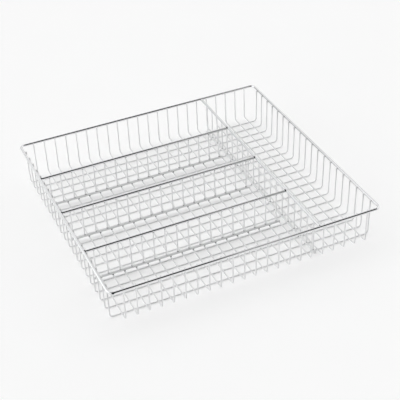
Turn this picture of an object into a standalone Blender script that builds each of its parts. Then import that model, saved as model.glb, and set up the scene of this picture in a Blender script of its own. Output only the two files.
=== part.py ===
"""Cutlery tray of chrome plated steel wire, with five compartments.

A thick wire loop makes the rim. Thin wires bent like a shallow U hang inside it, one set from
front to back and one set from left to right, and make the floor and the four walls. Four wire
dividers part the tray into four long compartments on the left and one full-depth compartment
on the right. Each divider is a thick top wire and a thick foot wire with thin uprights welded
between them. Metres, +Z up, +X to the right, the front towards -Y. The origin is at the centre
of the footprint, on the surface that the tray stands on.
"""

import math

import bmesh
import bpy
from mathutils import Matrix, Vector

# Tray, outside sizes
TRAY_WIDTH = 0.400
TRAY_DEPTH = 0.385
TRAY_HEIGHT = 0.0585

# Wire diameters
RIM_WIRE = 0.0040
MESH_WIRE = 0.0020
DIVIDER_WIRE = 0.0040
UPRIGHT_WIRE = 0.0020

# Bends, measured on the centre line of the wire
RIM_CORNER_RADIUS = 0.0070
MESH_BEND_RADIUS = 0.0045

# Clearance between two wires that are welded to each other
WELD_GAP = 0.0003

# Mesh: how many wires each way, and the outermost ones' distance from the rim's centre line
FRONT_BACK_WIRES = 22
LEFT_RIGHT_WIRES = 20
LEFT_MARGIN = 0.0199
RIGHT_MARGIN = 0.0181
END_MARGIN = 0.0197

# How far each wall leans out from the floor to the rim
WALL_LEAN = 0.0007

# How far the cut ends of the mesh wires and the dividers' tops stay below the top of the rim
LEG_END_DROP = 0.0012
DIVIDER_TOP_DROP = 0.0004

# Dividers: the mesh wire that comes before each one, and its place in the gap after that wire
LONG_DIVIDER_AFTER = (4, 9, 14)
LONG_DIVIDER_GAP_SHARES = (0.02, 0.47, 0.71)
CROSS_DIVIDER_AFTER = 16
CROSS_DIVIDER_GAP_SHARE = 0.62

# Uprights: how many, and the outer ones' distance from the ends of the divider's top wire
LONG_UPRIGHTS = 17
LONG_FIRST_UPRIGHT = 0.0117
LONG_LAST_UPRIGHT = 0.0137
CROSS_UPRIGHTS = 20
CROSS_FIRST_UPRIGHT = 0.0147
CROSS_LAST_UPRIGHT = 0.0206

# How far a divider's foot wire runs on past its outer uprights
FOOT_OVERHANG = 0.0055

# Facets: steps of each quarter of a wire's section less one, and steps along a bend
THIN_WIRE_STEPS = 2
THICK_WIRE_STEPS = 4
THIN_BEND_STEPS = 3
THICK_BEND_STEPS = 4
SMOOTH_ANGLE = math.radians(40)

# Derived sizes
MESH_RADIUS = MESH_WIRE / 2
RIM_RADIUS = RIM_WIRE / 2
DIVIDER_RADIUS = DIVIDER_WIRE / 2
RIM_X = TRAY_WIDTH / 2 - RIM_RADIUS
RIM_Y = TRAY_DEPTH / 2 - RIM_RADIUS
RIM_Z = TRAY_HEIGHT - RIM_RADIUS
LOWER_Z = MESH_RADIUS
UPPER_Z = LOWER_Z + MESH_WIRE + WELD_GAP
LEG_TOP_Z = TRAY_HEIGHT - LEG_END_DROP
LEG_INSET = RIM_RADIUS + WELD_GAP + MESH_RADIUS
DIVIDER_TOP_Z = TRAY_HEIGHT - DIVIDER_TOP_DROP - DIVIDER_RADIUS
LONG_FOOT_Z = UPPER_Z + MESH_RADIUS + WELD_GAP + DIVIDER_RADIUS
CROSS_FOOT_Z = LOWER_Z + MESH_RADIUS + WELD_GAP + DIVIDER_RADIUS
TOP_END_GAP = DIVIDER_RADIUS + WELD_GAP
DIVIDER_CLEARANCE = DIVIDER_RADIUS + MESH_RADIUS + WELD_GAP


def clear_scene():
    """Take away the objects that a new Blender file starts with."""
    for obj in list(bpy.data.objects):
        bpy.data.objects.remove(obj, do_unlink=True)


def section_sides(steps):
    """Number of flats round a wire."""
    return 4 + 2 * steps


def corner_radius(diameter, steps):
    """Radius to the corners of a faceted section whose flats lie one diameter apart."""
    return diameter / 2 / math.cos(math.pi / section_sides(steps))


def corner_arc(before, corner, after, radius, steps):
    """Points of a round bend of the centre line at one corner of a bent wire."""
    to_start = (before - corner).normalized()
    to_end = (after - corner).normalized()
    half_angle = to_start.angle(to_end) / 2
    tangent = radius / math.tan(half_angle)
    centre = corner + (to_start + to_end).normalized() * (radius / math.sin(half_angle))
    start = corner + to_start * tangent - centre
    end = corner + to_end * tangent - centre
    sweep = start.angle(end)
    points = []
    for step in range(steps + 1):
        turn = sweep * step / steps
        arm = start * math.sin(sweep - turn) + end * math.sin(turn)
        points.append(centre + arm / math.sin(sweep))
    return points


def bent_wire(corners, radius, steps):
    """Centre line of an open wire that is bent at each inner corner."""
    points = [corners[0]]
    for before, corner, after in zip(corners, corners[1:], corners[2:]):
        points += corner_arc(before, corner, after, radius, steps)
    points.append(corners[-1])
    return points


def bent_loop(corners, radius, steps):
    """Centre line of a closed wire loop that is bent at every corner."""
    points = []
    for index, corner in enumerate(corners):
        after = corners[(index + 1) % len(corners)]
        points += corner_arc(corners[index - 1], corner, after, radius, steps)
    return points


def wire_curve(name, points, diameter, steps, closed=False):
    """Curve whose round section turns a centre line into a solid wire with flat ends."""
    curve = bpy.data.curves.new(name, "CURVE")
    curve.dimensions = "3D"
    curve.twist_mode = "MINIMUM"
    curve.bevel_depth = corner_radius(diameter, steps)
    curve.bevel_resolution = steps
    curve.use_fill_caps = not closed
    spline = curve.splines.new("POLY")
    spline.points.add(len(points) - 1)
    spline.use_cyclic_u = closed
    spline.use_smooth = True
    for place, point in zip(spline.points, points):
        place.co = (*point, 1.0)
        place.tilt = math.pi / section_sides(steps)
    return curve


def straight_wire_mesh(name, diameter, spans, steps):
    """Mesh of straight wires with flat ends, one for each pair of end points."""
    radius = corner_radius(diameter, steps)
    sides = section_sides(steps)
    work = bmesh.new()
    for start, end in spans:
        lift = Matrix.Translation((start + end) / 2)
        swing = (end - start).to_track_quat("Z", "Y").to_matrix().to_4x4()
        turn = Matrix.Rotation(math.pi / sides, 4, "Z")
        bmesh.ops.create_cone(
            work,
            cap_ends=True,
            segments=sides,
            radius1=radius,
            radius2=radius,
            depth=(end - start).length,
            matrix=lift @ swing @ turn,
        )
    mesh = bpy.data.meshes.new(name)
    work.to_mesh(mesh)
    work.free()
    return mesh


def chrome(name, red, green, blue, roughness):
    """Bright chrome plating over steel wire."""
    material = bpy.data.materials.new(name)
    material.use_nodes = True
    shader = material.node_tree.nodes["Principled BSDF"]
    shader.inputs["Base Color"].default_value = (red, green, blue, 1.0)
    shader.inputs["Metallic"].default_value = 1.0
    shader.inputs["Roughness"].default_value = roughness
    return material


def place_piece(name, data, location, collection, origin):
    """Object for one sub-part, parented to the tray's origin."""
    obj = bpy.data.objects.new(name, data)
    obj.location = location
    obj.parent = origin
    collection.objects.link(obj)
    return obj


def mesh_wire_places(count, first, last):
    """Even places of the mesh wires between the two outermost ones."""
    pitch = (last - first) / (count - 1)
    return [first + pitch * index for index in range(count)]


def divider_place(wires, after, gap_share):
    """Place of a divider in the gap after one mesh wire, clear of the wires on both sides."""
    free_width = wires[after + 1] - wires[after] - 2 * DIVIDER_CLEARANCE
    return wires[after] + DIVIDER_CLEARANCE + gap_share * free_width


def make_rim(parts, origin):
    """Thick wire loop with rounded corners."""
    corners = [
        Vector((RIM_X, -RIM_Y, RIM_Z)),
        Vector((RIM_X, RIM_Y, RIM_Z)),
        Vector((-RIM_X, RIM_Y, RIM_Z)),
        Vector((-RIM_X, -RIM_Y, RIM_Z)),
    ]
    line = bent_loop(corners, RIM_CORNER_RADIUS, THICK_BEND_STEPS)
    curve = wire_curve("rim_wire", line, RIM_WIRE, THICK_WIRE_STEPS, closed=True)
    curve.materials.append(chrome("chrome_rim", 0.78, 0.79, 0.80, 0.10))
    place_piece("rim_wire", curve, (0, 0, 0), parts, origin)


def make_front_back_wires(places, parts, origin):
    """Upper set of mesh wires: front wall, floor and back wall in one bent wire."""
    top_y = RIM_Y - LEG_INSET
    floor_y = top_y - WALL_LEAN
    corners = [
        Vector((0, -top_y, LEG_TOP_Z)),
        Vector((0, -floor_y, UPPER_Z)),
        Vector((0, floor_y, UPPER_Z)),
        Vector((0, top_y, LEG_TOP_Z)),
    ]
    line = bent_wire(corners, MESH_BEND_RADIUS, THIN_BEND_STEPS)
    curve = wire_curve("front_back_wire", line, MESH_WIRE, THIN_WIRE_STEPS)
    curve.materials.append(chrome("chrome_front_back_wire", 0.80, 0.81, 0.81, 0.14))
    for index, place in enumerate(places):
        place_piece(f"front_back_wire_{index + 1:02d}", curve, (place, 0, 0), parts, origin)


def make_left_right_wires(places, parts, origin):
    """Lower set of mesh wires: left wall, floor and right wall in one bent wire."""
    top_x = RIM_X - LEG_INSET
    floor_x = top_x - WALL_LEAN
    corners = [
        Vector((-top_x, 0, LEG_TOP_Z)),
        Vector((-floor_x, 0, LOWER_Z)),
        Vector((floor_x, 0, LOWER_Z)),
        Vector((top_x, 0, LEG_TOP_Z)),
    ]
    line = bent_wire(corners, MESH_BEND_RADIUS, THIN_BEND_STEPS)
    curve = wire_curve("left_right_wire", line, MESH_WIRE, THIN_WIRE_STEPS)
    curve.materials.append(chrome("chrome_left_right_wire", 0.80, 0.81, 0.82, 0.14))
    for index, place in enumerate(places):
        place_piece(f"left_right_wire_{index + 1:02d}", curve, (0, place, 0), parts, origin)


def divider_wires_mesh(name, along, top_ends, foot_ends, foot_z, material):
    """Mesh of a divider's top wire and foot wire, which lie above each other along one axis."""
    spans = [
        tuple(along * place + Vector((0, 0, DIVIDER_TOP_Z)) for place in top_ends),
        tuple(along * place + Vector((0, 0, foot_z)) for place in foot_ends),
    ]
    mesh = straight_wire_mesh(name, DIVIDER_WIRE, spans, THICK_WIRE_STEPS)
    mesh.materials.append(material)
    mesh.shade_smooth()
    mesh.set_sharp_from_angle(angle=SMOOTH_ANGLE)
    return mesh


def upright_mesh(name, foot_z):
    """Mesh of one upright between the centre lines of a divider's foot wire and top wire."""
    span = (Vector((0, 0, foot_z)), Vector((0, 0, DIVIDER_TOP_Z)))
    return straight_wire_mesh(name, UPRIGHT_WIRE, [span], THIN_WIRE_STEPS)


def weld_uprights(divider, row):
    """Join a row of uprights to the divider's two thick wires, so that they are one piece."""
    weld = divider.modifiers.new("weld", "BOOLEAN")
    weld.operation = "UNION"
    weld.solver = "EXACT"
    weld.object = row


def place_upright_row(name, mesh, first, pitch, count, rows, origin):
    """Row of even uprights, a helper that the divider takes in."""
    row = place_piece(name, mesh, first, rows, origin)
    row.hide_render = True
    row.display_type = "WIRE"
    array = row.modifiers.new("row", "ARRAY")
    array.count = count
    array.use_relative_offset = False
    array.use_constant_offset = True
    array.constant_offset_displace = pitch
    return row


def make_long_dividers(wires_y, cross_x, parts, rows, origin):
    """Three like dividers from the left side of the rim to the cross divider."""
    along = Vector((1, 0, 0))
    start = -RIM_X + RIM_RADIUS + WELD_GAP
    end = cross_x - TOP_END_GAP
    first = start + LONG_FIRST_UPRIGHT
    last = end - LONG_LAST_UPRIGHT
    pitch = (last - first) / (LONG_UPRIGHTS - 1)
    foot_ends = (first - FOOT_OVERHANG, last + FOOT_OVERHANG)
    material = chrome("chrome_long_divider", 0.76, 0.77, 0.78, 0.10)
    wires = divider_wires_mesh("long_divider", along, (start, end), foot_ends, LONG_FOOT_Z, material)
    upright = upright_mesh("long_upright", LONG_FOOT_Z)
    for number, after in enumerate(LONG_DIVIDER_AFTER):
        name = f"long_divider_{number + 1}"
        place = Vector((0, divider_place(wires_y, after, LONG_DIVIDER_GAP_SHARES[number]), 0))
        divider = place_piece(name, wires, place, parts, origin)
        row_start = place + along * first
        row_name = f"{name}_upright_row"
        row = place_upright_row(row_name, upright, row_start, along * pitch, LONG_UPRIGHTS, rows, origin)
        weld_uprights(divider, row)


def make_cross_divider(cross_x, parts, rows, origin):
    """One divider from the front of the rim to the back, at the ends of the long ones."""
    along = Vector((0, 1, 0))
    reach = RIM_Y - RIM_RADIUS - WELD_GAP
    first = -reach + CROSS_FIRST_UPRIGHT
    last = reach - CROSS_LAST_UPRIGHT
    pitch = (last - first) / (CROSS_UPRIGHTS - 1)
    foot_ends = (first - FOOT_OVERHANG, last + FOOT_OVERHANG)
    material = chrome("chrome_cross_divider", 0.78, 0.79, 0.80, 0.10)
    wires = divider_wires_mesh("cross_divider", along, (-reach, reach), foot_ends, CROSS_FOOT_Z, material)
    upright = upright_mesh("cross_upright", CROSS_FOOT_Z)
    place = Vector((cross_x, 0, 0))
    divider = place_piece("cross_divider", wires, place, parts, origin)
    row_start = place + along * first
    row_name = "cross_divider_upright_row"
    row = place_upright_row(row_name, upright, row_start, along * pitch, CROSS_UPRIGHTS, rows, origin)
    weld_uprights(divider, row)


def main():
    clear_scene()
    parts = bpy.data.collections.new("cutlery_tray")
    rows = bpy.data.collections.new("upright_rows")
    for collection in (parts, rows):
        bpy.context.scene.collection.children.link(collection)
    origin = bpy.data.objects.new("tray_origin", None)
    parts.objects.link(origin)
    wires_x = mesh_wire_places(FRONT_BACK_WIRES, -RIM_X + LEFT_MARGIN, RIM_X - RIGHT_MARGIN)
    wires_y = mesh_wire_places(LEFT_RIGHT_WIRES, -RIM_Y + END_MARGIN, RIM_Y - END_MARGIN)
    cross_x = divider_place(wires_x, CROSS_DIVIDER_AFTER, CROSS_DIVIDER_GAP_SHARE)
    make_rim(parts, origin)
    make_front_back_wires(wires_x, parts, origin)
    make_left_right_wires(wires_y, parts, origin)
    make_long_dividers(wires_y, cross_x, parts, rows, origin)
    make_cross_divider(cross_x, parts, rows, origin)


main()
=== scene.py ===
"""Looks of the wire cutlery tray: chrome plated wires and their welds, on a pale studio floor."""

import math

import bpy
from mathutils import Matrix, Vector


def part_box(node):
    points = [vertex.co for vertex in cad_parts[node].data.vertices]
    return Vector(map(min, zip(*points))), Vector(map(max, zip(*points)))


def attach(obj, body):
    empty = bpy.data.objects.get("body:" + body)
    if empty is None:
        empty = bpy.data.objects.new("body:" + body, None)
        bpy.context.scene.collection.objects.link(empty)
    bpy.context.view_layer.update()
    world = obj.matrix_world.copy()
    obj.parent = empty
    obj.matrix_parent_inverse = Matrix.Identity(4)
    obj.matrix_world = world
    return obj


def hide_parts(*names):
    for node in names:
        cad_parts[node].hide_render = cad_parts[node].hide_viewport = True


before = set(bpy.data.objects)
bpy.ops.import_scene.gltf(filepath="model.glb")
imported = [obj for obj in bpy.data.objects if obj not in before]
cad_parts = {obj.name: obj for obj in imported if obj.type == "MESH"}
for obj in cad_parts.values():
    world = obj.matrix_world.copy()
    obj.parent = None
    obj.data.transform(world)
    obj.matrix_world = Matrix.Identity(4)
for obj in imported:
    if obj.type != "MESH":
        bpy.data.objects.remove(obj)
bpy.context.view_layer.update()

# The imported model's wires, in the order of their rows
FRONT_BACK = [name for name in sorted(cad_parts) if name.startswith("front_back_wire")]
LEFT_RIGHT = [name for name in sorted(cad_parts) if name.startswith("left_right_wire")]
LONG = [name for name in sorted(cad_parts) if name.startswith("long_divider")]

# Wires, in metres
THICK_WIRE = 0.004  # rim, and top and foot wires of the dividers
THIN_WIRE = 0.002  # mesh and uprights
RIM_BEND = 0.007  # radius of each bend, at the wire's centre line
MESH_BEND = 0.0045
CUT_EDGE = 0.00035  # a cropped wire's end is rounded over this length
CUT_END = 0.8  # share of the wire's thickness that is left at the very end
WALL_LEAN = 0.0007  # the mesh's walls lean out this much towards the rim
UNEVEN = 0.00022  # how far a wire may stand from its even place after welding

# Faces round a wire, and steps in a bend
THICK_SIDES = 24
THIN_SIDES = 14
BEND_STEPS = 10

# Uprights of the dividers: how many, and how far the outer two stand from the top wire's ends
LONG_UPRIGHTS = 17
LONG_FIRST = 0.0117
LONG_LAST = 0.0137
CROSS_UPRIGHTS = 20
CROSS_FIRST = 0.0147
CROSS_LAST = 0.0206
FOOT_OVERHANG = 0.0055  # how far a foot wire runs on past the outer uprights

# Weld beads: half of their sizes along X, Y and Z
CROSSING_BEAD = (0.00115, 0.00115, 0.00055)
RIM_BEAD = (0.0009, 0.0009, 0.0011)
LEFT_RIM_BEAD = (0.0005, 0.0007, 0.0008)
UPRIGHT_BEAD = (0.0015, 0.0015, 0.0009)
FOOT_BEAD = (0.0011, 0.0011, 0.0008)
LONG_END_BEAD = (0.0017, 0.0022, 0.0014)
CROSS_END_BEAD = (0.0017, 0.0013, 0.0013)

# Where the beads lie, from the wires' middles and ends
RIM_WELD_GAP = 0.00015  # inwards from the rim's inner side
LEFT_WELD_DROP = 0.0012  # the left side's welds sit lower than the others
FOOT_WELD_SIDE = 0.0012  # to each side of a foot wire
FOOT_WELD_RISE = 0.0002  # up from a foot wire's underside
END_WELD_OUT = 0.0004  # outwards from a top wire's end
END_WELD_RISE = 0.0009  # up from a top wire's middle

# One seed for each kind of row
FRONT_BACK_SEED = 11
LEFT_RIGHT_SEED = 12
LONG_SEED = 20
CROSS_SEED = 30
CROSSING_SEED = 41
RIM_WELD_SEED = 50
UPRIGHT_WELD_SEED = 60
FOOT_WELD_SEED = 61
END_WELD_SEED = 62

# Plating: heights over which it changes from the floor to the rim, and by how much
DULL_FROM, DULL_TO = 0.01, 0.05
METAL_FROM, METAL_TO = 0.008, 0.045
DEEP_DULL = 0.4  # added to the roughness at the floor
DEEP_METAL = 0.22  # metal look that is left at the floor
LINE_DULL = 0.04  # added by the die lines
HAZE_DULL = 0.22  # added where the plating is hazy
DIE_LINES = (26.0, 9.0, 1.0)  # lines round the wire, and their changes for each metre along it

# Light: the tent's white cloth, its roof over the board, the board's own glow, and the softbox
TENT = 1.25
ROOF_LIGHT = 0.6
BOARD_GLOW = 0.193
SOFTBOX = 0.9
GREY_CARD = 0.35  # how much of the dark gap the card covers
DOUBLED = 0.4  # how much light the doubled cloth keeps back

# Node settings and edges that are used often
ADD = {"operation": "ADD"}
SUBTRACT = {"operation": "SUBTRACT"}
MULTIPLY = {"operation": "MULTIPLY"}
SCALE = {"operation": "SCALE"}
SOFT = {"interpolation_type": "SMOOTHSTEP"}
TINTS = {"data_type": "RGBA"}
NUMBERS = {"data_type": "FLOAT", "domain": "POINT"}
OFFSETS = {"mode": "OFFSET"}
BENT = {"mode": "POLY"}
RISE = (0.0, 1.0)
FALL = (1.0, 0.0)


# ---------------------------------------------------------------- small helpers


def colour(text):
    """Turns an sRGB colour, written #RRGGBB, into linear light."""
    values = [int(text[i : i + 2], 16) / 255 for i in (1, 3, 5)]
    return [v / 12.92 if v <= 0.04045 else ((v + 0.055) / 1.055) ** 2.4 for v in values] + [1.0]


def add(tree, kind, settings=None, **inputs):
    """Adds a node.

    Settings are its properties. Inputs are sockets to link or values to set: _ stands for a space
    in a socket's name, and at_3 is the fourth socket.
    """
    made = tree.nodes.new(kind)
    for name, value in (settings or {}).items():
        setattr(made, name, value)
    for name, value in inputs.items():
        key = int(name[3:]) if name.startswith("at_") else name.replace("_", " ")
        socket = made.inputs[key]
        if isinstance(value, bpy.types.NodeSocket):
            tree.links.new(value, socket)
        else:
            socket.default_value = value
    return made


def soft_patch(tree, *edges):
    """Multiplies soft edges into one patch.

    Each edge is a value, where the edge starts and ends, and what it goes from and to.
    """
    patch = None
    for value, (start, end), (before, after) in edges:
        edge = add(tree, "ShaderNodeMapRange", SOFT, Value=value, From_Min=start, From_Max=end)
        edge.inputs["To Min"].default_value = before
        edge.inputs["To Max"].default_value = after
        level = edge.outputs[0]
        if patch is not None:
            level = add(tree, "ShaderNodeMath", MULTIPLY, at_0=patch, at_1=level).outputs[0]
        patch = level
    return patch


def behind(tree, light, patch):
    """What is left of a light behind a patch."""
    let_through = add(tree, "ShaderNodeMath", SUBTRACT, at_0=1.0, at_1=patch).outputs[0]
    return add(tree, "ShaderNodeMath", MULTIPLY, at_0=light, at_1=let_through).outputs[0]


def new_material(name):
    """Starts a material. Returns it, its tree, its shader and the place on the piece."""
    material = bpy.data.materials.new(name)
    material.use_nodes = True
    tree = material.node_tree
    place_on = add(tree, "ShaderNodeTexCoord").outputs["Object"]
    return material, tree, tree.nodes["Principled BSDF"], place_on


def new_tree(name, sizes):
    """Starts a geometry tree whose named inputs are the sizes. Returns it and their sockets."""
    tree = bpy.data.node_groups.new(name, "GeometryNodeTree")
    tree.interface.new_socket("Geometry", in_out="OUTPUT", socket_type="NodeSocketGeometry")
    for label, kind in sizes:
        tree.interface.new_socket(label, in_out="INPUT", socket_type="NodeSocket" + kind)
    return tree, add(tree, "NodeGroupInput").outputs


def close_tree(tree, geometry, material):
    """Ends a tree: instances made real, smooth faces, and the material."""
    real = add(tree, "GeometryNodeRealizeInstances", Geometry=geometry)
    smooth = add(tree, "GeometryNodeSetShadeSmooth", Geometry=real.outputs[0])
    dressed = add(tree, "GeometryNodeSetMaterial", Geometry=smooth.outputs[0], Material=material)
    add(tree, "NodeGroupOutput", at_0=dressed.outputs[0])


def grow(name, tree, values):
    """Runs a tree with these values, and gives its result as a plain mesh object."""
    blank = bpy.data.objects.new(name + "_blank", bpy.data.meshes.new(name + "_blank"))
    bpy.context.scene.collection.objects.link(blank)
    modifier = blank.modifiers.new("shape", "NODES")
    modifier.node_group = tree
    sockets = {s.name: s for s in tree.interface.items_tree if s.in_out == "INPUT"}
    for label, value in values.items():
        modifier[sockets[label].identifier] = value
    bpy.context.view_layer.update()
    evaluated = blank.evaluated_get(bpy.context.evaluated_depsgraph_get())
    mesh = bpy.data.meshes.new_from_object(evaluated)
    bpy.data.objects.remove(blank)
    mesh.name = name
    piece = bpy.data.objects.new(name, mesh)
    bpy.context.scene.collection.objects.link(piece)
    return piece


def join(name, pieces):
    """Joins pieces into one mesh object."""
    with bpy.context.temp_override(active_object=pieces[0], selected_editable_objects=pieces):
        bpy.ops.object.join()
    pieces[0].name = name
    return pieces[0]


def put_on_tray(piece, slot, *nodes):
    """Puts a finished piece on the tray in place of these CAD nodes."""
    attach(piece, "root")
    if nodes:
        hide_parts(*nodes)


# ---------------------------------------------------------------- materials


def chrome_material(name, bright, dull, smooth, rough, top_metal=1.0, painted_reflection_at=None, haze=None):
    """Bright nickel and chrome plating on drawn steel wire.

    Wire is drawn through a die, bent, welded and then plated in a bath. The plating copies fine
    lines along the wire from the die, and it is a little thicker and cloudier in some places,
    which softens the mirror there. top_metal is how fully it mirrors at the rim: thin wire that
    hangs among others takes less. A near black spot can be painted at a given place: a painted
    reflection, of dark surroundings mirrored in a bent corner. Haze is where, along X, the plating
    turns cloudy, because that part of the wire hung deeper in the bath.
    """
    material, tree, surface, place_on = new_material(name)
    place = add(tree, "ShaderNodeSeparateXYZ", Vector=place_on).outputs

    # clouds in the plating, about 9 mm across
    clouds = add(tree, "ShaderNodeTexNoise", Vector=place_on, Scale=110.0, Detail=3.0)
    clouds.inputs["Roughness"].default_value = 0.55
    tints = {"at_6": colour(bright), "at_7": colour(dull)}
    tint = add(tree, "ShaderNodeMix", TINTS, at_0=clouds.outputs["Fac"], **tints)
    # painted reflection: a near black spot at this place, for the dark surroundings that a bent
    # corner mirrors
    if painted_reflection_at is not None:
        off = add(tree, "ShaderNodeVectorMath", {"operation": "DISTANCE"}, at_0=place_on, at_1=painted_reflection_at)
        spot = soft_patch(tree, (off.outputs["Value"], (0.0010, 0.0022), FALL))
        tints = {"at_6": tint.outputs[2], "at_7": colour("#26272A")}
        tint = add(tree, "ShaderNodeMix", TINTS, at_0=spot, **tints)
    tree.links.new(tint.outputs[2], surface.inputs["Base Color"])

    # die lines follow the wire; the tree that makes a wire stores the ways along and round it.
    # Real ones are about 0.05 mm apart, too fine to show, so these are drawn up to 0.5 mm apart.
    round_wire = add(tree, "ShaderNodeAttribute", {"attribute_name": "round_wire"}).outputs["Fac"]
    along_wire = add(tree, "ShaderNodeAttribute", {"attribute_name": "along_wire"}).outputs["Fac"]
    wire_map = add(tree, "ShaderNodeCombineXYZ", X=round_wire, Y=along_wire).outputs[0]
    stretch = add(tree, "ShaderNodeVectorMath", MULTIPLY, at_0=wire_map, at_1=DIE_LINES).outputs[0]
    noise = add(tree, "ShaderNodeTexNoise", Vector=stretch, Scale=1.0, Detail=2.0)
    lines = noise.outputs["Fac"]

    # the bath's current reaches the rim first: the plating is duller, and mirrors less, below
    gloss = add(tree, "ShaderNodeMapRange", Value=clouds.outputs["Fac"])
    gloss.inputs["To Min"].default_value = smooth
    gloss.inputs["To Max"].default_value = rough
    deep = soft_patch(tree, (place["Z"], (DULL_FROM, DULL_TO), (DEEP_DULL, 0.0)))
    streak = add(tree, "ShaderNodeMath", {"operation": "MULTIPLY_ADD"}, at_0=lines, at_1=LINE_DULL)
    tree.links.new(gloss.outputs[0], streak.inputs[2])
    total = add(tree, "ShaderNodeMath", ADD, at_0=streak.outputs[0], at_1=deep)
    if haze is not None:
        cloudy = soft_patch(tree, (place["X"], haze, (0.0, HAZE_DULL)))
        total = add(tree, "ShaderNodeMath", ADD, at_0=total.outputs[0], at_1=cloudy)
    tree.links.new(total.outputs[0], surface.inputs["Roughness"])
    metal = soft_patch(tree, (place["Z"], (METAL_FROM, METAL_TO), (DEEP_METAL, top_metal)))
    tree.links.new(metal, surface.inputs["Metallic"])

    # fine orange peel of the plating, about 0.7 mm, together with the die lines
    peel = add(tree, "ShaderNodeTexNoise", Vector=place_on, Scale=1400.0, Detail=1.0)
    height = add(tree, "ShaderNodeMath", ADD, at_0=lines, at_1=peel.outputs["Fac"]).outputs[0]
    bump = add(tree, "ShaderNodeBump", Strength=0.25, Distance=0.00002, Height=height)
    tree.links.new(bump.outputs[0], surface.inputs["Normal"])
    return material


def weld_material(name, dark, light):
    """Plated spot weld.

    Two wires are pressed together and a current melts them into each other. The squeezed out
    steel is rougher than the drawn wire, and the plating over it stays duller and a little
    darker. Darker colours make darker welds, and near black ones painted shade where wires meet.
    """
    material, tree, surface, place_on = new_material(name)
    surface.inputs["Metallic"].default_value = 1.0

    # each weld took its own heat: patches about 12 mm across differ from weld to weld
    heat = add(tree, "ShaderNodeTexNoise", Vector=place_on, Scale=85.0, Detail=2.0)
    ramp = add(tree, "ShaderNodeValToRGB", Fac=heat.outputs["Fac"])
    darkest, lightest = ramp.color_ramp.elements
    darkest.position, darkest.color = 0.35, colour(dark)
    lightest.position, lightest.color = 0.65, colour(light)
    tree.links.new(ramp.outputs["Color"], surface.inputs["Base Color"])

    # the cast skin of the weld, grains about 0.3 mm
    noise = add(tree, "ShaderNodeTexNoise", Vector=place_on, Scale=3200.0, Detail=2.0)
    grain = noise.outputs["Fac"]
    gloss = add(tree, "ShaderNodeMapRange", Value=grain, To_Min=0.22, To_Max=0.42)
    tree.links.new(gloss.outputs[0], surface.inputs["Roughness"])
    bump = add(tree, "ShaderNodeBump", Strength=0.5, Distance=0.00004, Height=grain)
    tree.links.new(bump.outputs[0], surface.inputs["Normal"])
    return material


def board_material():
    """Matt painted studio board.

    The board is rolled with matt white paint, so it spreads light evenly and shows only a very
    faint mottle, in patches about 70 mm across. It glows a little, as it is lit from below too.
    """
    material, tree, surface, place_on = new_material("matt_studio_board")
    mottle = add(tree, "ShaderNodeTexNoise", Vector=place_on, Scale=14.0, Detail=4.0)
    ramp = add(tree, "ShaderNodeValToRGB", Fac=mottle.outputs["Fac"])
    ramp.color_ramp.elements[0].color = colour("#EAEAEA")
    ramp.color_ramp.elements[1].color = colour("#EDEDED")
    tree.links.new(ramp.outputs["Color"], surface.inputs["Base Color"])
    surface.inputs["Roughness"].default_value = 0.9
    surface.inputs["Specular IOR Level"].default_value = 0.0
    surface.inputs["Emission Color"].default_value = colour("#FFFFFF")
    surface.inputs["Emission Strength"].default_value = BOARD_GLOW
    return material


# ---------------------------------------------------------------- trees for the wires


def sweep_wire(tree, curve, diameter, sides):
    """Sweeps a round section along a curve, and stores the ways along and round the wire."""
    way = add(tree, "GeometryNodeSplineParameter").outputs
    radius = add(tree, "ShaderNodeMath", MULTIPLY, at_0=diameter, at_1=0.5).outputs[0]
    section = add(tree, "GeometryNodeCurvePrimitiveCircle", Resolution=sides, Radius=radius)
    path = add(tree, "GeometryNodeStoreNamedAttribute", NUMBERS, Geometry=curve)
    path.inputs["Name"].default_value = "along_wire"
    tree.links.new(way["Length"], path.inputs["Value"])
    ring = add(tree, "GeometryNodeStoreNamedAttribute", NUMBERS, Geometry=section.outputs[0])
    ring.inputs["Name"].default_value = "round_wire"
    tree.links.new(way["Factor"], ring.inputs["Value"])
    swept = add(tree, "GeometryNodeCurveToMesh", Curve=path.outputs[0], Fill_Caps=True)
    tree.links.new(ring.outputs[0], swept.inputs["Profile Curve"])
    return swept.outputs[0]


def step_in(tree, end, after):
    """The place one cut edge further along from a wire's end."""
    way = add(tree, "ShaderNodeVectorMath", SUBTRACT, at_0=after, at_1=end).outputs[0]
    unit = add(tree, "ShaderNodeVectorMath", {"operation": "NORMALIZE"}, at_0=way).outputs[0]
    short = add(tree, "ShaderNodeVectorMath", SCALE, at_0=unit, Scale=CUT_EDGE).outputs[0]
    return add(tree, "ShaderNodeVectorMath", ADD, at_0=end, at_1=short).outputs[0]


def cropped_path(tree, places, bend_radius=None):
    """Path through these places, bent at its corners as a bending machine does it.

    Its two ends are rounded a little, as the shears leave them.
    """
    points = [places[0], step_in(tree, places[0], places[1])]
    points += places[1:-1] + [step_in(tree, places[-1], places[-2]), places[-1]]
    where = add(tree, "GeometryNodeIndexSwitch", {"data_type": "VECTOR"})
    for _ in range(len(points) - len(where.index_switch_items)):
        where.index_switch_items.new()
    tree.links.new(add(tree, "GeometryNodeInputIndex").outputs[0], where.inputs["Index"])
    for number, point in enumerate(points):
        tree.links.new(point, where.inputs[str(number)])
    dots = add(tree, "GeometryNodePoints", Count=len(points), Position=where.outputs[0])
    path = add(tree, "GeometryNodePointsToCurves", Points=dots.outputs[0]).outputs[0]
    if bend_radius is not None:
        bent = add(tree, "GeometryNodeFilletCurve", BENT, Curve=path, Radius=bend_radius)
        bent.inputs["Count"].default_value = BEND_STEPS
        path = bent.outputs[0]
    ends = add(tree, "GeometryNodeCurveEndpointSelection").outputs[0]
    eased = add(tree, "GeometryNodeSetCurveRadius", Curve=path, Selection=ends, Radius=CUT_END)
    return eased.outputs[0]


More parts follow.
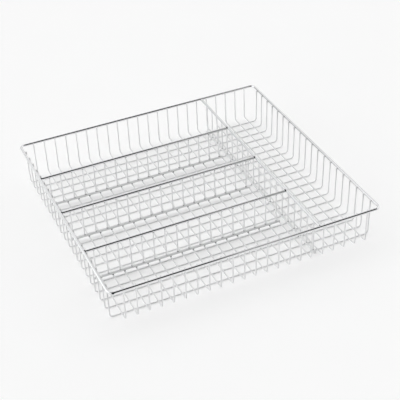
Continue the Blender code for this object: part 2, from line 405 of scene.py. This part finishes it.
def row_of(tree, shape, given, first):
    """Repeats a shape along a row, each one a little out of its even place."""
    row = add(tree, "GeometryNodeMeshLine", OFFSETS, Count=given["Count"], Start_Location=first)
    tree.links.new(given["Pitch"], row.inputs["Offset"])
    copies = add(tree, "GeometryNodeInstanceOnPoints", Points=row.outputs[0], Instance=shape)
    low = add(tree, "ShaderNodeVectorMath", SCALE, at_0=given["Uneven"], Scale=-1.0).outputs[0]
    shift = add(tree, "FunctionNodeRandomValue", {"data_type": "FLOAT_VECTOR"}, Min=low)
    tree.links.new(given["Uneven"], shift.inputs["Max"])
    tree.links.new(given["Seed"], shift.inputs["Seed"])
    moved = add(tree, "GeometryNodeTranslateInstances", Instances=copies.outputs[0])
    tree.links.new(shift.outputs["Value"], moved.inputs["Translation"])
    return moved.outputs[0]


def bent_wire_tree():
    """One row of mesh wires, each bent like a shallow U: leg, floor, leg."""
    corners = ("Leg top 1", "Foot 1", "Foot 2", "Leg top 2")
    sizes = [(label, "Vector") for label in corners]
    sizes += [("Bend radius", "Float"), ("Wire", "Float"), ("Count", "Int"), ("First", "Vector")]
    sizes += [("Pitch", "Vector"), ("Uneven", "Vector"), ("Seed", "Int"), ("Material", "Material")]
    tree, given = new_tree("bent_mesh_wires", sizes)
    bent = cropped_path(tree, [given[label] for label in corners], given["Bend radius"])
    wire = sweep_wire(tree, bent, given["Wire"], THIN_SIDES)
    close_tree(tree, row_of(tree, wire, given, given["First"]), given["Material"])
    return tree


def rim_tree():
    """The rim: a closed loop of thick wire with rounded corners."""
    sizes = [("Width", "Float"), ("Height", "Float"), ("Bend radius", "Float"), ("Wire", "Float")]
    sizes += [("Centre", "Vector"), ("Material", "Material")]
    tree, given = new_tree("rim_loop", sizes)
    flat = add(tree, "GeometryNodeCurvePrimitiveQuadrilateral", Width=given["Width"])
    tree.links.new(given["Height"], flat.inputs["Height"])
    bent = add(tree, "GeometryNodeFilletCurve", BENT, Curve=flat.outputs[0], Count=BEND_STEPS)
    tree.links.new(given["Bend radius"], bent.inputs["Radius"])
    wire = sweep_wire(tree, bent.outputs[0], given["Wire"], THICK_SIDES)
    lifted = add(tree, "GeometryNodeTransform", Geometry=wire, Translation=given["Centre"])
    close_tree(tree, lifted.outputs[0], given["Material"])
    return tree


def thick_wire_tree():
    """One straight thick wire with cropped ends: a divider's top wire or foot wire."""
    sizes = [("Start", "Vector"), ("End", "Vector"), ("Wire", "Float"), ("Material", "Material")]
    tree, given = new_tree("straight_thick_wire", sizes)
    path = cropped_path(tree, [given["Start"], given["End"]])
    close_tree(tree, sweep_wire(tree, path, given["Wire"], THICK_SIDES), given["Material"])
    return tree


def upright_tree():
    """One row of straight uprights between a divider's top wire and foot wire."""
    sizes = [("Foot", "Vector"), ("Head", "Vector"), ("Wire", "Float"), ("Count", "Int")]
    sizes += [("Pitch", "Vector"), ("Uneven", "Vector"), ("Seed", "Int"), ("Material", "Material")]
    tree, given = new_tree("divider_uprights", sizes)
    rise = add(tree, "ShaderNodeVectorMath", SUBTRACT, at_0=given["Head"], at_1=given["Foot"])
    path = add(tree, "GeometryNodeCurvePrimitiveLine", End=rise.outputs[0])
    wire = sweep_wire(tree, path.outputs[0], given["Wire"], THIN_SIDES)
    close_tree(tree, row_of(tree, wire, given, given["Foot"]), given["Material"])
    return tree


def weld_tree():
    """Spot welds on a grid: each a small squeezed out bead, sized a little differently."""
    sizes = [("Bead", "Vector"), ("First", "Vector"), ("Count across", "Int")]
    sizes += [("Pitch across", "Vector"), ("Count along", "Int"), ("Pitch along", "Vector")]
    sizes += [("Seed", "Int"), ("Material", "Material")]
    tree, given = new_tree("spot_welds", sizes)
    across = add(tree, "GeometryNodeMeshLine", OFFSETS, Count=given["Count across"])
    tree.links.new(given["Pitch across"], across.inputs["Offset"])
    along = add(tree, "GeometryNodeMeshLine", OFFSETS, Count=given["Count along"])
    tree.links.new(given["First"], along.inputs["Start Location"])
    tree.links.new(given["Pitch along"], along.inputs["Offset"])
    grid = add(tree, "GeometryNodeInstanceOnPoints", Points=along.outputs[0])
    tree.links.new(across.outputs[0], grid.inputs["Instance"])
    points = add(tree, "GeometryNodeRealizeInstances", Geometry=grid.outputs[0])
    spread = add(tree, "FunctionNodeRandomValue", {"data_type": "FLOAT_VECTOR"})
    tree.links.new(given["Seed"], spread.inputs["Seed"])
    spread.inputs["Min"].default_value = (0.85, 0.85, 0.85)
    spread.inputs["Max"].default_value = (1.12, 1.12, 1.12)
    size = add(tree, "ShaderNodeVectorMath", MULTIPLY, at_0=given["Bead"])
    tree.links.new(spread.outputs["Value"], size.inputs[1])
    ball = add(tree, "GeometryNodeMeshIcoSphere", Radius=1.0, Subdivisions=2)
    beads = add(tree, "GeometryNodeInstanceOnPoints", Points=points.outputs[0])
    tree.links.new(ball.outputs[0], beads.inputs["Instance"])
    tree.links.new(size.outputs[0], beads.inputs["Scale"])
    close_tree(tree, beads.outputs[0], given["Material"])
    return tree


# ---------------------------------------------------------------- places on the tray


def middle(node):
    """The middle of a CAD node's box."""
    low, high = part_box(node)
    return (low + high) / 2


def row_places(nodes, axis):
    """The first place and the pitch of a row of nodes along an axis."""
    first, last = middle(nodes[0])[axis], middle(nodes[-1])[axis]
    return first, (last - first) / (len(nodes) - 1)


def on_axis(axis, distance):
    """A step of this length along X, where axis is 0, or along Y."""
    return (distance, 0, 0) if axis == 0 else (0, distance, 0)


def on_divider(axis, across, place, level):
    """A point on a divider at this place along it and this level."""
    return (place, across.y, level) if axis == 0 else (across.x, place, level)


def divider_shape(node):
    """Where a divider's wires lie.

    Returns its axis, its middle, its two ends, the levels of its top and foot wires, and its
    uprights: how many, and the places of the first and the last.
    """
    low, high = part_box(node)
    levels = (high.z - THICK_WIRE / 2, low.z + THICK_WIRE / 2)
    if node == "cross_divider":
        axis, count, start, end = 1, CROSS_UPRIGHTS, CROSS_FIRST, CROSS_LAST
    else:
        axis, count, start, end = 0, LONG_UPRIGHTS, LONG_FIRST, LONG_LAST
    ends = (low[axis], high[axis])
    return axis, (low + high) / 2, ends, levels, count, ends[0] + start, ends[1] - end


# ---------------------------------------------------------------- the tray's pieces


def make_rim(tree, chrome):
    """The rim: one closed loop of thick wire."""
    low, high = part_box("rim_wire")
    values = {
        "Width": high.x - low.x - THICK_WIRE,
        "Height": high.y - low.y - THICK_WIRE,
        "Bend radius": RIM_BEND,
        "Wire": THICK_WIRE,
        "Centre": tuple(middle("rim_wire")),
        "Material": chrome,
    }
    put_on_tray(grow("rim_loop", tree, values), "rim_wire", "rim_wire")


def make_mesh(tree, name, nodes, axis, chrome, seed):
    """A row of U wires. axis is 0 where the row runs along X, and the wires along Y."""
    low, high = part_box(nodes[0])
    half = (high[1 - axis] - low[1 - axis] - THIN_WIRE) / 2
    floor = low.z + THIN_WIRE / 2
    first, pitch = row_places(nodes, axis)

    def at(reach, level):
        return (0, reach, level) if axis == 0 else (reach, 0, level)

    values = {
        "Leg top 1": at(-half, high.z),
        "Foot 1": at(-half + WALL_LEAN, floor),
        "Foot 2": at(half - WALL_LEAN, floor),
        "Leg top 2": at(half, high.z),
        "Bend radius": MESH_BEND,
        "Wire": THIN_WIRE,
        "Count": len(nodes),
        "First": on_axis(axis, first),
        "Pitch": on_axis(axis, pitch),
        "Uneven": on_axis(axis, UNEVEN),
        "Seed": seed,
        "Material": chrome,
    }
    put_on_tray(grow(name, tree, values), "mesh_wire", *nodes)


def make_divider(node, wires, uprights, thick, thin, seed):
    """The pieces of one divider: top wire, foot wire and the row of uprights between them."""
    axis, across, ends, (top, foot), count, first, last = divider_shape(node)
    foot_ends = (first - FOOT_OVERHANG, last + FOOT_OVERHANG)
    pieces = []
    for label, (start, end), level, chrome in (
        ("top_wire", ends, top, thick),
        ("foot_wire", foot_ends, foot, thin),
    ):
        values = {
            "Start": on_divider(axis, across, start, level),
            "End": on_divider(axis, across, end, level),
            "Wire": THICK_WIRE,
            "Material": chrome,
        }
        pieces.append(grow(f"{node}_{label}", wires, values))
    values = {
        "Foot": on_divider(axis, across, first, foot),
        "Head": on_divider(axis, across, first, top),
        "Wire": THIN_WIRE,
        "Count": count,
        "Pitch": on_axis(axis, (last - first) / (count - 1)),
        "Uneven": on_axis(axis, UNEVEN),
        "Seed": seed,
        "Material": thin,
    }
    pieces.append(grow(node + "_uprights", uprights, values))
    return pieces


def make_long_dividers(wires, uprights, thick, thin):
    """The three long dividers, as one piece."""
    pieces = []
    for number, node in enumerate(LONG):
        pieces += make_divider(node, wires, uprights, thick, thin, LONG_SEED + number)
    put_on_tray(join("long_dividers", pieces), "divider", *LONG)


def make_cross_divider(wires, uprights, thick, thin):
    """The divider from the front of the rim to the back."""
    pieces = make_divider("cross_divider", wires, uprights, thick, thin, CROSS_SEED)
    put_on_tray(join("cross_divider_grille", pieces), "divider", "cross_divider")


def make_floor_welds(tree, weld):
    """Where each front-to-back wire crosses each left-to-right wire."""
    x, x_pitch = row_places(FRONT_BACK, 0)
    y, y_pitch = row_places(LEFT_RIGHT, 1)
    lows = [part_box(nodes[0])[0].z for nodes in (FRONT_BACK, LEFT_RIGHT)]
    between = (sum(lows) + THIN_WIRE) / 2
    values = {
        "Bead": CROSSING_BEAD,
        "First": (x, y, between + THIN_WIRE / 4),
        "Count across": len(FRONT_BACK),
        "Pitch across": on_axis(0, x_pitch),
        "Count along": len(LEFT_RIGHT),
        "Pitch along": on_axis(1, y_pitch),
        "Seed": CROSSING_SEED,
        "Material": weld,
    }
    put_on_tray(grow("floor_welds", tree, values), "mesh_wire")


def weld_row(tree, weld, bead, first, count, pitch, seed):
    """One straight row of beads."""
    values = {
        "Bead": bead,
        "First": first,
        "Count across": 1,
        "Pitch across": (0, 0, 0),
        "Count along": count,
        "Pitch along": pitch,
        "Seed": seed,
        "Material": weld,
    }
    return grow("weld_row", tree, values)


def make_rim_welds(tree, weld):
    """Where each leg of the mesh meets the inner side of the rim."""
    level = middle("rim_wire").z
    low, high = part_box("rim_wire")
    pieces = []
    for axis, nodes in ((0, FRONT_BACK), (1, LEFT_RIGHT)):
        first, pitch = row_places(nodes, axis)
        for side, inward in ((low, 1), (high, -1)):
            across = side[1 - axis] + inward * (THICK_WIRE + RIM_WELD_GAP)
            # the left side's welds are flatter and sit lower
            left = axis == 1 and side is low
            at_level = level - LEFT_WELD_DROP if left else level
            start = (first, across, at_level) if axis == 0 else (across, first, at_level)
            bead = LEFT_RIM_BEAD if left else RIM_BEAD
            step, seed = on_axis(axis, pitch), RIM_WELD_SEED + axis
            pieces.append(weld_row(tree, weld, bead, start, len(nodes), step, seed))
    put_on_tray(join("rim_welds", pieces), "rim_wire")


def make_divider_welds(tree, weld, dark_foot_weld, painted_shade_end_weld):
    """Where uprights meet their thick wires, foot wires cross the mesh, and top wires end."""
    pieces = []
    for node in LONG + ["cross_divider"]:
        axis, across, ends, (top, foot), count, first, last = divider_shape(node)
        is_long = axis == 0

        # uprights, at the top of the foot wire and the underside of the top wire
        pitch = on_axis(axis, (last - first) / (count - 1))
        for level in (foot + THICK_WIRE / 2, top - THICK_WIRE / 2):
            at = on_divider(axis, across, first, level)
            row = weld_row(tree, weld, UPRIGHT_BEAD, at, count, pitch, UPRIGHT_WELD_SEED)
            pieces.append(row)

        # mesh wires under the foot wire, on both of its sides
        wires = FRONT_BACK if is_long else LEFT_RIGHT
        start, step = row_places(wires, axis)
        places = [start + number * step for number in range(len(wires))]
        foot_start, foot_end = first - FOOT_OVERHANG, last + FOOT_OVERHANG
        crossed = [place for place in places if foot_start < place < foot_end]
        level = foot - THICK_WIRE / 2 + FOOT_WELD_RISE
        pitch = on_axis(axis, step)
        for side in (-FOOT_WELD_SIDE, FOOT_WELD_SIDE):
            at = list(on_divider(axis, across, crossed[0], level))
            at[1 - axis] += side
            # the long dividers' foot welds are coloured darker
            kind = dark_foot_weld if is_long else weld
            row = weld_row(tree, kind, FOOT_BEAD, at, len(crossed), pitch, FOOT_WELD_SEED)
            pieces.append(row)

        # the two ends of the top wire: weld beads coloured near black, painted shade and dark
        # reflection where the wires meet
        bead = LONG_END_BEAD if is_long else CROSS_END_BEAD
        for end, outward in ((ends[0], -END_WELD_OUT), (ends[1], END_WELD_OUT)):
            at = on_divider(axis, across, end + outward, top + END_WELD_RISE)
            pieces.append(weld_row(tree, painted_shade_end_weld, bead, at, 1, (0, 0, 0), END_WELD_SEED))
    put_on_tray(join("divider_welds", pieces), "divider")


# ---------------------------------------------------------------- studio


def make_floor(board):
    """The studio's board, large enough to reach the horizon."""
    mesh = bpy.data.meshes.new("studio_floor")
    reach = 30.0
    corners = [(-reach, -reach, 0), (reach, -reach, 0), (reach, reach, 0), (-reach, reach, 0)]
    mesh.from_pydata(corners, [], [(0, 1, 2, 3)])
    mesh.materials.append(board)
    floor = bpy.data.objects.new("studio_floor", mesh)
    bpy.context.scene.collection.objects.link(floor)
    return floor


def make_tent():
    """Light tent: white cloth all round the tray.

    In front and above, where the camera looks in, it is open, which the plating mirrors as a
    dark gap. The back wall is dim, and the cloth at the right is doubled.
    """
    world = bpy.data.worlds.new("light_tent")
    bpy.context.scene.world = world
    world.use_nodes = True
    tree = world.node_tree
    tree.nodes.clear()
    way = add(tree, "ShaderNodeTexCoord").outputs["Generated"]
    x, y, z = add(tree, "ShaderNodeSeparateXYZ", Vector=way).outputs  # right, back and up

    # the gap reaches the floor, except at the right, where its lower edge is soft
    sill = soft_patch(tree, (x, (0.1, 0.22), (0.14, 0.0)))
    over_sill = add(tree, "ShaderNodeMath", ADD, at_0=z, at_1=sill).outputs[0]
    left_edge = (x, (-0.62, -0.5), RISE)
    right_edge = (x, (0.57, 0.72), FALL)
    back_edge = (y, (-0.02, 0.24), FALL)
    low_edge = (over_sill, (0.0, 0.14), RISE)
    gap = soft_patch(tree, left_edge, right_edge, back_edge, low_edge)

    # a grey card hangs in the gap, right of the camera
    card = soft_patch(tree, (x, (0.295, 0.355), RISE), (x, (0.38, 0.45), (GREY_CARD, 0.0)))
    gap = behind(tree, gap, card)

    # the back wall is dimmer at the left, and less light comes through doubled cloth
    wall = soft_patch(tree, (y, (0.64, 0.8), RISE), (x, (-0.49, -0.27), (0.85, 0.2)))
    fold = ((y, (0.45, 0.6), RISE), (y, (0.73, 0.78), FALL), (x, (0.12, 0.3), (0.0, DOUBLED)))
    doubled = soft_patch(tree, *fold)
    cloth = add(tree, "ShaderNodeMath", SUBTRACT, at_0=TENT, at_1=doubled).outputs[0]
    level = behind(tree, behind(tree, cloth, wall), gap)

    # the camera itself sees a plain backdrop of the board's tone
    seen = add(tree, "ShaderNodeLightPath").outputs["Is Camera Ray"]
    tent = add(tree, "ShaderNodeBackground", Color=colour("#FFFFFF"), Strength=level).outputs[0]
    backdrop = add(tree, "ShaderNodeBackground", Color=colour("#F9F9F9"), Strength=1.0).outputs[0]
    pick = add(tree, "ShaderNodeMixShader", Fac=seen, at_1=tent, at_2=backdrop).outputs[0]
    add(tree, "ShaderNodeOutputWorld", Surface=pick)


def make_roof_light(floor):
    """The tent's lit roof, for the board alone: the wires shade the board softly."""
    data = bpy.data.lights.new("roof_light", "SUN")
    data.angle = math.radians(120)
    data.energy = ROOF_LIGHT
    roof = bpy.data.objects.new("roof_light", data)
    bpy.context.scene.collection.objects.link(roof)
    board_only = bpy.data.collections.new("board_only")
    board_only.objects.link(floor)
    roof.light_linking.receiver_collection = board_only


def make_softbox():
    """A strip light with a diffuser, standing close by the tray's left side."""
    data = bpy.data.lights.new("left_softbox", "AREA")
    data.shape = "RECTANGLE"
    data.size, data.size_y = 0.7, 0.26
    data.energy = SOFTBOX * math.pi * data.size * data.size_y
    box = bpy.data.objects.new("left_softbox", data)
    box.location = (-0.43, 0.25, 0.17)
    box.rotation_euler = (math.pi / 2, 0, math.pi * 3 / 2)
    box.visible_diffuse = False  # the plating mirrors it, and it adds no light to the board
    bpy.context.scene.collection.objects.link(box)


def make_camera():
    """The photograph's camera, found from the places of the rim, the mesh and the dividers."""
    data = bpy.data.cameras.new("camera")
    data.lens = 93.32
    data.sensor_width = 36
    data.sensor_fit = "HORIZONTAL"
    camera = bpy.data.objects.new("camera", data)
    camera.rotation_euler = [math.radians(turn) for turn in (54.1255, 1.8585, -24.7694)]
    camera.location = (-0.4791, -1.1355, 0.9030)
    bpy.context.scene.collection.objects.link(camera)
    bpy.context.scene.camera = camera
    bpy.context.scene.view_settings.view_transform = "Standard"


def main():
    """Sets up the camera and the studio, then makes the tray's pieces."""
    make_camera()
    make_tent()
    make_softbox()
    make_roof_light(make_floor(board_material()))

    painted_reflection_at = (-0.1930, -0.1918, 0.0572)  # painted reflection: a near black spot on the rim's bend at the front left corner
    haze = (-0.06, 0.09)  # it thickens over the right half of the long dividers
    rim = chrome_material("chrome_plated_rim", "#E5E6E7", "#DCDCDD", 0.02, 0.06, painted_reflection_at=painted_reflection_at)
    thin = chrome_material("chrome_plated_mesh", "#F6F6F7", "#EEEFEF", 0.26, 0.31, top_metal=0.5)
    thick = chrome_material("chrome_plated_divider", "#E4E5E6", "#DBDBDC", 0.03, 0.07, haze=haze)
    weld = weld_material("plated_spot_weld", "#9A9B9C", "#C8CACB")
    # darker welds, for the long dividers' foot crossings
    dark_foot_weld = weld_material("darker_spot_weld", "#3E3F41", "#6E6F70")
    # near black beads at the top wires' ends: painted shade and dark reflection where the wires
    # meet
    painted_shade_end_weld = weld_material("end_weld_painted_shade", "#1F2022", "#303134")

    bent, straight = bent_wire_tree(), thick_wire_tree()
    uprights, welds = upright_tree(), weld_tree()
    make_rim(rim_tree(), rim)
    make_mesh(bent, "front_back_wires", FRONT_BACK, 0, thin, FRONT_BACK_SEED)
    make_mesh(bent, "left_right_wires", LEFT_RIGHT, 1, thin, LEFT_RIGHT_SEED)
    make_long_dividers(straight, uprights, thick, thin)
    make_cross_divider(straight, uprights, thick, thin)
    make_floor_welds(welds, weld)
    make_rim_welds(welds, weld)
    make_divider_welds(welds, weld, dark_foot_weld, painted_shade_end_weld)


main()
